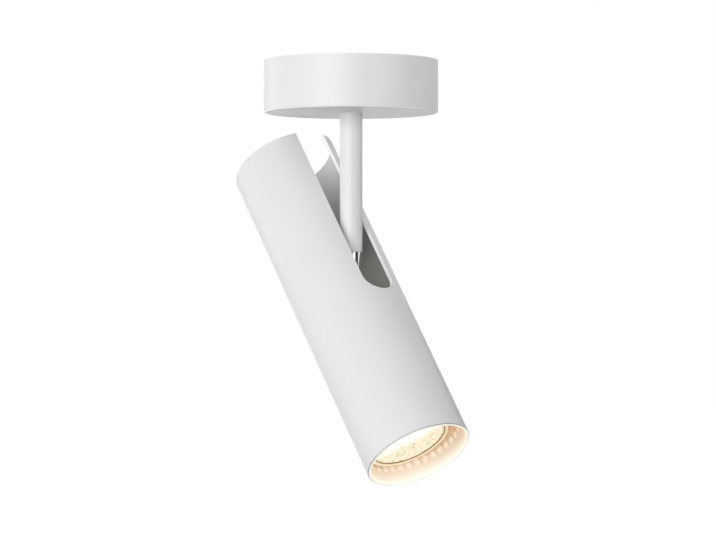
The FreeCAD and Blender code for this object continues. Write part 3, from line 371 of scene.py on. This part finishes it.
def tube_coat():
    """Powder paint, with painted shade inside the tube that is darkest where the slit shows it, a
    painted highlight on the slit's cut faces, a painted shade line round the mouth and the lamp's
    light painted as a glow inside it."""
    made, tree, shader = start_material("tube_coat")
    set_surface(shader, PAINT, PAINT_ROUGHNESS, Emission_Strength=1.0)
    low, high = local_span("head_tube", HEAD)
    radius = (high.y - low.y) / 2
    across, aside, height = local_place(tree, HEAD)
    reach = length_of(tree, across, aside)
    above_rim = maths(tree, "SUBTRACT", height, low.z)
    inside = maths(tree, "LESS_THAN", reach, radius - HEAD_WALL + FACE_MARGIN)
    # The slit's cut faces, which get a painted highlight
    cut_face = on_cut_face(tree, across, aside, height)
    # The band round the mouth's outer edge that gets the painted shade line
    edge = every(tree, maths(tree, "GREATER_THAN", reach, radius - MOUTH_SHADE_WIDTH),
                 maths(tree, "LESS_THAN", above_rim, MOUTH_SHADE_WIDTH))
    # Painted shade inside the tube, darkest where the slit shows it
    inside_shade = colours(tree, maths(tree, "DIVIDE", above_rim, high.z - low.z), INSIDE_PAINT_AND_SHADE)
    tone = blend(tree, inside, paint_skin(tree, shader), inside_shade)
    tone = blend(tree, cut_face, tone, CUT_HIGHLIGHT_TONE)
    join(tree, blend(tree, edge, tone, MOUTH_SHADE_TONE), shader.inputs["Base Color"])
    on_rim = maths(tree, "LESS_THAN", above_rim, FACE_MARGIN)
    lit = every(tree, maths(tree, "LESS_THAN", reach, radius - MOUTH_SHADE_WIDTH),
                maths(tree, "LESS_THAN", above_rim, GLOW_REACH),
                maths(tree, "MAXIMUM", inside, on_rim))
    glow = mouth_glow(tree, across, aside, above_rim, radius)
    light = blend(tree, lit, blend(tree, cut_face, BLACK, CUT_HIGHLIGHT_GLOW), glow)
    join(tree, light, shader.inputs["Emission Color"])
    return made


# The lit face of the lamp

def ring_stops(inner_shade, middle, outer_shade):
    """Stops over a ring's width, from its inner edge at 0 to its outer edge at 1, with a line of
    painted shade at each edge.
    """
    return ((0.0, inner_shade), (INNER_SHADE_END, inner_shade), (MIDDLE_START, middle),
            (MIDDLE_END, middle), (OUTER_SHADE_START, outer_shade), (1.0, outer_shade))


def bezel_plastic():
    """The lamp's front ring, lit from inside, with a line of painted shade along both its edges."""
    made, tree, shader = start_material("bezel_plastic")
    set_surface(shader, BEZEL_COLOUR, BEZEL_ROUGHNESS, Emission_Strength=1.0)
    low, high = local_span("lamp_bezel", LAMP)
    inner_edge = (high.y - low.y) / 2 - BEZEL_WIDTH
    across, aside, _ = local_place(tree, LAMP)
    past_edge = maths(tree, "SUBTRACT", length_of(tree, across, aside), inner_edge)
    share = maths(tree, "DIVIDE", past_edge, BEZEL_WIDTH)
    for socket, tones in (("Base Color", BEZEL_TONES_AND_SHADE), ("Emission Color", BEZEL_GLOW_AND_SHADE)):
        join(tree, colours(tree, share, ring_stops(*tones)), shader.inputs[socket])
    return made


def lens_plastic():
    """Clear plastic over lit chips: amber between its domes, cream on them, white in its painted
    highlight.
    """
    made, tree, shader = start_material("lens_plastic")
    set_surface(shader, LENS_COLOUR, LENS_ROUGHNESS, Emission_Strength=1.0)
    face, _ = local_span("lamp_lens", LAMP)
    across, aside, height = local_place(tree, LAMP)
    rise = maths(tree, "DIVIDE", maths(tree, "SUBTRACT", face.z, height), DOME_RISE)
    glow = colours(tree, maths(tree, "ADD", rise, vary(tree, **LENS_MOTTLE)), LENS_GLOW)
    # A painted white highlight on one side of the lens's face
    towards = maths(tree, "ADD", maths(tree, "MULTIPLY", across, SHINE_TOWARDS[0]),
                    maths(tree, "MULTIPLY", aside, SHINE_TOWARDS[1]))
    wavering = maths(tree, "ADD", towards, vary(tree, **SHINE_WAVER))
    shine = ramp(tree, wavering, SHINE_START, SHINE_FULL, 0.0, 1.0)
    join(tree, blend(tree, shine, glow, SHINE_TONE), shader.inputs["Emission Color"])
    return made


# Every other finish

def grained_finish(name, colour, roughness, metallic=0.0, tones=None, gloss=None, relief=None,
                   **others):
    """A finish whose colour, roughness and height may each change over a grain of their own."""
    made, tree, shader = start_material(name)
    set_surface(shader, colour, roughness, metallic, **others)
    for socket, change in (("Base Color", tones), ("Roughness", gloss)):
        if change:
            join(tree, vary(tree, **change), shader.inputs[socket])
    if relief:
        raise_surface(tree, shader, **relief)
    return made


DRAWN = {"size": 0.0007, "detail": 4.0, "stretch": (1, 14, 14)}
WEAVE = {"size": 0.00025, "detail": 1.0}
LENS = lens_plastic()
FINISHES = {
    "white_powder_coat": powder_coat(),
    "zinc_plated_steel": grained_finish(
        "zinc_plate", colour=(0.66, 0.67, 0.68), roughness=0.34, metallic=1.0,
        tones={"size": 0.006, "start": (0.6, 0.62, 0.65), "end": (0.72, 0.72, 0.71)},
        gloss={"start": 0.26, "end": 0.44, **DRAWN},
        relief={"distance": 0.00001, "strength": 0.4, **DRAWN}),
    "polished_nickel": grained_finish(
        "nickel", colour=(0.78, 0.77, 0.75), roughness=0.08, metallic=1.0,
        gloss={"size": 0.002, "detail": 4.0, "start": 0.06, "end": 0.12}),
    "brass": grained_finish(
        "brass", colour=(0.78, 0.6, 0.3), roughness=0.25, metallic=1.0,
        tones={"size": 0.003, "start": (0.74, 0.56, 0.27), "end": (0.82, 0.65, 0.35)},
        gloss={"size": 0.0008, "detail": 4.0, "start": 0.2, "end": 0.34}),
    "white_nylon": grained_finish(
        "nylon", colour=(0.86, 0.86, 0.84), roughness=0.5, Subsurface_Weight=0.05,
        tones={"size": 0.01, "start": (0.84, 0.84, 0.81), "end": (0.88, 0.88, 0.86)},
        relief={"size": 0.0004, "detail": 3.0, "distance": 0.00002, "strength": 0.5}),
    # The woven glass sleeve of a heat proof wire
    "wire_sleeve": grained_finish(
        "glass_sleeve", colour=(0.82, 0.8, 0.76), roughness=0.7,
        tones={"start": (0.7, 0.68, 0.63), "end": (0.88, 0.86, 0.82), "spread": NARROW_SPREAD,
               **WEAVE},
        relief={"distance": 0.00008, "strength": 0.8, **WEAVE}),
    "ceramic": grained_finish(
        "ceramic", colour=(0.88, 0.87, 0.83), roughness=0.6,
        tones={"size": 0.004, "detail": 4.0, "start": (0.85, 0.84, 0.79),
               "end": (0.91, 0.9, 0.87), "spread": NARROW_SPREAD},
        relief={"size": 0.0003, "detail": 4.0, "distance": 0.00003, "strength": 0.6}),
    "lamp_plastic": grained_finish(
        "lamp_plastic", colour=(0.87, 0.87, 0.86), roughness=0.28,
        gloss={"size": 0.004, "start": 0.24, "end": 0.34}),
    "lamp_lens": LENS,
    "lamp_board": grained_finish(
        "solder_mask", colour=(0.84, 0.84, 0.83), roughness=0.35,
        gloss={"size": 0.002, "start": 0.3, "end": 0.42}),
    "led_chip": grained_finish(
        "phosphor", colour=(0.95, 0.82, 0.4), roughness=0.4,
        tones={"size": 0.0005, "start": (0.93, 0.78, 0.34), "end": (0.97, 0.86, 0.48)}),
}

# Nodes with a finish of their own, in place of that of their slot
OWN_FINISHES = {"canopy": canopy_coat(), "head_tube": tube_coat(), "lamp_bezel": bezel_plastic()}

for name, piece in frame["nodes"].items():
    for index, old in enumerate(piece.data.materials):
        slot_finish = FINISHES[old.name.split(".")[0]]
        piece.data.materials[index] = OWN_FINISHES.get(name, slot_finish)


# The small domes on the lens

def add_dome(mesh, face, centre, size):
    """One dome that stands down from the lens's face, in rings of points to its tip."""
    rings = []
    for share in DOME_RINGS:
        height = face + DOME_SINK - (DOME_RISE + DOME_SINK) * math.sqrt(1 - share ** 2)
        ring = []
        for step in range(DOME_SEGMENTS):
            angle = 2 * math.pi * step / DOME_SEGMENTS
            spot = Vector((centre[0] + size * share * math.cos(angle),
                           centre[1] + size * share * math.sin(angle), height))
            ring.append(mesh.verts.new(LAMP @ spot))
        rings.append(ring)
    tip = mesh.verts.new(LAMP @ Vector((*centre, face - DOME_RISE)))
    for outer, inner in zip(rings, rings[1:]):
        for step in range(DOME_SEGMENTS):
            after = (step + 1) % DOME_SEGMENTS
            mesh.faces.new((outer[after], outer[step], inner[step], inner[after]))
    last = rings[-1]
    for step in range(DOME_SEGMENTS):
        mesh.faces.new((last[(step + 1) % DOME_SEGMENTS], last[step], tip))
    mesh.faces.new(rings[0])


def lens_domes():
    """Rings of small domes round a wide one, standing on the lens's face."""
    low, high = local_span("lamp_lens", LAMP)
    radius = (high.y - low.y) / 2
    mesh = bmesh.new()
    add_dome(mesh, low.z, (0, 0), LENS_BOSS)
    reach = LENS_BOSS + DOME_PITCH / 2
    while reach + DOME_RADIUS < radius:
        count = round(2 * math.pi * reach / DOME_PITCH)
        for number in range(count):
            angle = 2 * math.pi * number / count
            centre = (reach * math.cos(angle), reach * math.sin(angle))
            add_dome(mesh, low.z, centre, DOME_RADIUS)
        reach += DOME_PITCH
    bmesh.ops.recalc_face_normals(mesh, faces=mesh.faces)
    for face in mesh.faces:
        face.smooth = len(face.verts) < DOME_SEGMENTS
    shape = bpy.data.meshes.new("lens_domes")
    mesh.to_mesh(shape)
    mesh.free()
    made = put("lens_domes", shape)
    shape.materials.append(LENS)
    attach(made, "lamp")


lens_domes()


# Stage

STUDIO_LEVEL = 0.38

# The floor: what it sends up onto the spotlight, and the tone that shows. Its lift is emission,
# less within the near reach than past the far one, so that it shows white and keeps a shadow
FLOOR_HEIGHT = -0.33
FLOOR_SIZE = 12
FLOOR_BOUNCE = (0.35, 0.34, 0.345)
FLOOR_TONE = (0.8, 0.8, 0.8)
FLOOR_LIFT_NEAR = 0.53
FLOOR_LIFT_FAR = 0.72
NEAR_REACH = 0.6
FAR_REACH = 2.0
MATT = 0.9

# Soft lamps, which all face the spotlight's middle: name, place, watts and tint
MIDDLE = (0, 0, -0.12)
SOFT_LIGHT_SIZE = 1.2
SIDE_TINT = (1.0, 0.965, 1.0)
LIGHTS = (
    ("key", (0.2, -1.9, -0.1), 12.6, WHITE),
    ("front", (1.0, -1.5, -0.1), 13, WHITE),
    ("left", (-1.0, -1.6, -0.1), 4, WHITE),
    ("back_left", (-1.8, -0.6, -0.1), 4.5, WHITE),
    ("side", (1.7, 0.3, -0.1), 5.8, SIDE_TINT),
    ("rear", (0.6, 1.8, 0.0), 3.2, SIDE_TINT),
    ("back", (-1.4, 1.1, 0.9), 9, WHITE),
)

# Dark cards that only reflections meet, so that polished metal has something to show. Each has
# its angle round the stem from the view, and its width, in degrees
CARDS = ((8, 18), (57, 33), (125, 62))
CARD_DISTANCE = 0.5
CARD_FOOT = -0.15
CARD_TOP = -0.02
CARD_TONE = (0.012, 0.011, 0.01)


def mix_shaders(tree, share, first, second):
    mix = add(tree, "ShaderNodeMixShader")
    for place, value in zip(mix.inputs, (share, first, second)):
        join(tree, value, place)
    return mix.outputs[0]


def show_as_background(tree, plain, seen_as):
    """A plain shader, but another one where the camera, a reflection or a view through glass
    meets it."""
    path = add(tree, "ShaderNodeLightPath")
    seen = path.outputs["Is Camera Ray"]
    for name in ("Is Glossy Ray", "Is Transmission Ray"):
        seen = maths(tree, "MAXIMUM", seen, path.outputs[name])
    return mix_shaders(tree, seen, plain, seen_as)


def flat_sheet(name, corners):
    """A flat mesh between four corners."""
    mesh = bpy.data.meshes.new(name)
    mesh.from_pydata(corners, [], [(0, 1, 2, 3)])
    return mesh


def dark_card(angle, width):
    """A tall card round the stem's axis, seen by reflections and nothing else."""
    facing = math.atan2(CAMERA_PLACE[1], CAMERA_PLACE[0])
    start, stop = (facing + math.radians(angle + side * width / 2) for side in (-1, 1))
    corners = [(CARD_DISTANCE * math.cos(turn), CARD_DISTANCE * math.sin(turn), height)
               for turn, height in ((start, CARD_FOOT), (stop, CARD_FOOT),
                                    (stop, CARD_TOP), (start, CARD_TOP))]
    made = put("dark_card", flat_sheet("dark_card", corners))
    for ray in ("camera", "diffuse", "transmission", "volume_scatter", "shadow"):
        setattr(made, "visible_" + ray, False)
    surface, _, shader = start_material("dark_card")
    set_surface(shader, CARD_TONE, MATT)
    made.data.materials.append(surface)


def studio_world():
    """An even level of light, which shows as white."""
    world = bpy.data.worlds.new("studio")
    bpy.context.scene.world = world
    world.use_nodes = True
    tree = world.node_tree
    tree.nodes.clear()
    light, white = (add(tree, "ShaderNodeBackground", Color=(*WHITE, 1), Strength=level)
                    for level in (STUDIO_LEVEL, 1.0))
    shown = show_as_background(tree, light.outputs[0], white.outputs[0])
    join(tree, shown, add(tree, "ShaderNodeOutputWorld").inputs["Surface"])


def floor():
    """A pale floor, clear from below so that it doesn't hide the spotlight from there."""
    half = FLOOR_SIZE / 2
    corners = [(x * half, y * half, FLOOR_HEIGHT) for x, y in ((-1, -1), (1, -1), (1, 1), (-1, 1))]
    made = put("floor", flat_sheet("floor", corners))
    surface, tree, shader = start_material("pale_floor")
    set_surface(shader, FLOOR_BOUNCE, MATT)
    pale = add(tree, "ShaderNodeBsdfDiffuse", Color=(*FLOOR_TONE, 1))
    across, aside, _ = split(tree, place_of(tree))
    lift = add(tree, "ShaderNodeEmission", Color=(*WHITE, 1))
    level = ramp(tree, length_of(tree, across, aside), NEAR_REACH, FAR_REACH,
                 FLOOR_LIFT_NEAR, FLOOR_LIFT_FAR)
    join(tree, level, lift.inputs["Strength"])
    white = add(tree, "ShaderNodeAddShader")
    join(tree, pale.outputs[0], white.inputs[0])
    join(tree, lift.outputs[0], white.inputs[1])
    from_below = add(tree, "ShaderNodeNewGeometry").outputs["Backfacing"]
    clear = add(tree, "ShaderNodeBsdfTransparent").outputs[0]
    shown = show_as_background(tree, shader.outputs[0], white.outputs[0])
    shown = mix_shaders(tree, from_below, shown, clear)
    join(tree, shown, tree.nodes["Material Output"].inputs["Surface"])
    made.data.materials.append(surface)


def soft_light(name, place, power, colour):
    """A round soft lamp that the camera doesn't see, facing the spotlight's middle."""
    data = bpy.data.lights.new(name, "AREA")
    data.shape = "DISK"
    data.size = SOFT_LIGHT_SIZE
    data.energy = power
    data.color = colour
    made = put(name, data)
    made.location = place
    facing = Vector(MIDDLE) - Vector(place)
    made.rotation_euler = facing.to_track_quat("-Z", "Y").to_euler()
    made.visible_camera = False


def camera():
    data = bpy.data.cameras.new("camera")
    data.sensor_width = SENSOR_WIDTH
    data.lens = FOCAL_PIXELS / PICTURE_WIDTH * SENSOR_WIDTH
    made = put("camera", data)
    made.location = CAMERA_PLACE
    made.rotation_euler = (math.pi / 2 + CAMERA_RISE, 0, CAMERA_TURN)
    bpy.context.scene.camera = made


for card in CARDS:
    dark_card(*card)
studio_world()
floor()
for light in LIGHTS:
    soft_light(*light)
camera()
bpy.context.scene.view_settings.view_transform = "Standard"
